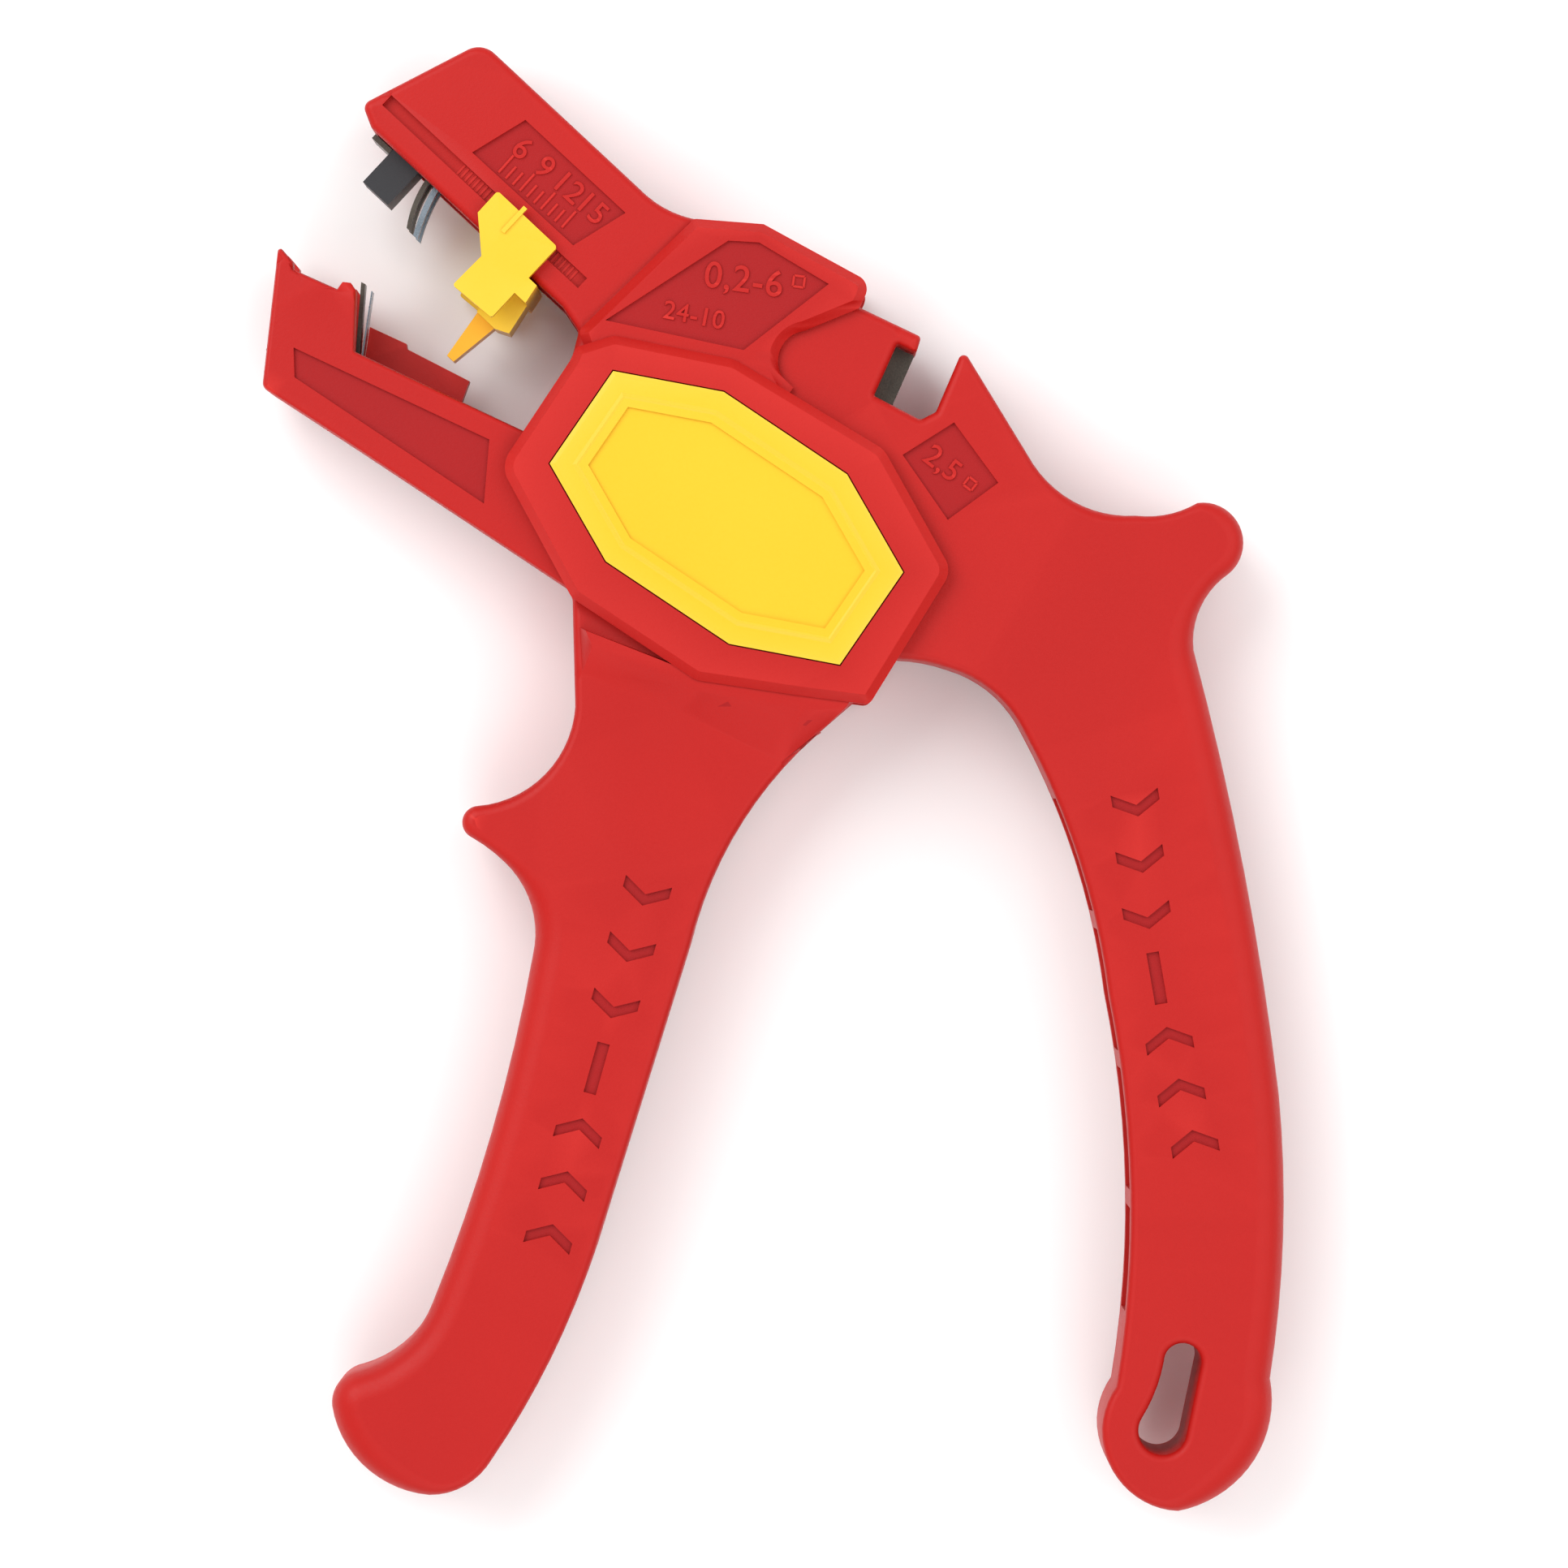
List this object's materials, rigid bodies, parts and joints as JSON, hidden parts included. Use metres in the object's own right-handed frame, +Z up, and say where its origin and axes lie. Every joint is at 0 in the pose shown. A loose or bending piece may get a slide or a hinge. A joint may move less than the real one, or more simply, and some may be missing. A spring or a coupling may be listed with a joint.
{
  "type": "wire stripper",
  "caption": "Pistol-style automatic wire stripper with hinged jaws, sliding blades, adjustable length stop and a side cutter in the handle.",
  "frame": {"origin": "centre of the tool's plan box, on the surface it lies on", "axes": "+Z up out of the flat side, +Y towards the jaws, +X towards the rear handle"},
  "size_m": [0.1134, 0.1624, 0.022],
  "materials": {
    "red_plastic": "fine moulded texture, glass-filled polyamide",
    "yellow_plastic": "satin moulded",
    "black_plastic": "moulded, dark",
    "blade_steel": "ground spring steel",
    "dark_steel": "blackened hardened steel",
    "spring_steel": "drawn wire",
    "bronze": "sintered bush",
    "zinc_steel": "zinc plated"
  },
  "bodies": {
    "main_body": {"body_shell_front": "red_plastic", "body_shell_rear": "red_plastic", "housing_screws": "zinc_steel", "badge_front": "yellow_plastic", "badge_rear": "yellow_plastic", "main_pivot_pin": "zinc_steel", "pivot_retaining_ring": "spring_steel", "thrust_washers": "zinc_steel", "clamp_shoe_upper": "black_plastic", "clamp_shoe_plate": "dark_steel", "cutter_blade": "dark_steel"},
    "handle": {"rear_handle": "red_plastic", "cutter_anvil": "dark_steel", "drive_pin": "zinc_steel", "handle_return_spring": "spring_steel", "jaw_return_spring": "spring_steel"},
    "jaw": {"lower_jaw": "red_plastic", "pivot_bush": "bronze", "clamp_pad_lower": "black_plastic"},
    "upper_carriage": {"upper_blade_carriage": "black_plastic", "upper_blade": "blade_steel", "upper_backing_leaf": "dark_steel"},
    "lower_carriage": {"lower_blade_carriage": "black_plastic", "lower_blade": "dark_steel", "lower_backing_leaf": "blade_steel"},
    "stop": {"length_stop": "yellow_plastic", "stop_detent_spring": "spring_steel"}
  },
  "joints": [
    {"name": "handle_squeeze", "type": "hinge", "parent": "main_body", "child": "handle", "pos_m": [-0.00525, 0.02888, 0.011], "axis": [0, 0, -1], "range_deg": [0, 24], "stiffness_Nm_per_rad": 0.5, "springref_deg": -20.05},
    {"name": "jaw_close", "type": "hinge", "parent": "main_body", "child": "jaw", "pos_m": [-0.00525, 0.02888, 0.011], "axis": [0, 0, -1], "range_deg": [0, 16.21]},
    {"name": "upper_blade_pull", "type": "slide", "parent": "main_body", "child": "upper_carriage", "axis": [0.7302, -0.6833, 0], "range_m": [0, 0.00301]},
    {"name": "lower_blade_pull", "type": "slide", "parent": "jaw", "child": "lower_carriage", "axis": [0.9011, -0.4337, 0], "range_m": [0, 0.00301]},
    {"name": "stop_slide", "type": "slide", "parent": "main_body", "child": "stop", "axis": [0.7302, -0.6833, 0], "range_m": [-0.005, 0.0042]}
  ],
  "couplings": [
    {"joint": "jaw_close", "follows": "handle_squeeze", "ratio": 0.675},
    {"joint": "upper_blade_pull", "follows": "handle_squeeze", "m_per_rad": 0.007162},
    {"joint": "lower_blade_pull", "follows": "handle_squeeze", "m_per_rad": 0.007162}
  ]
}
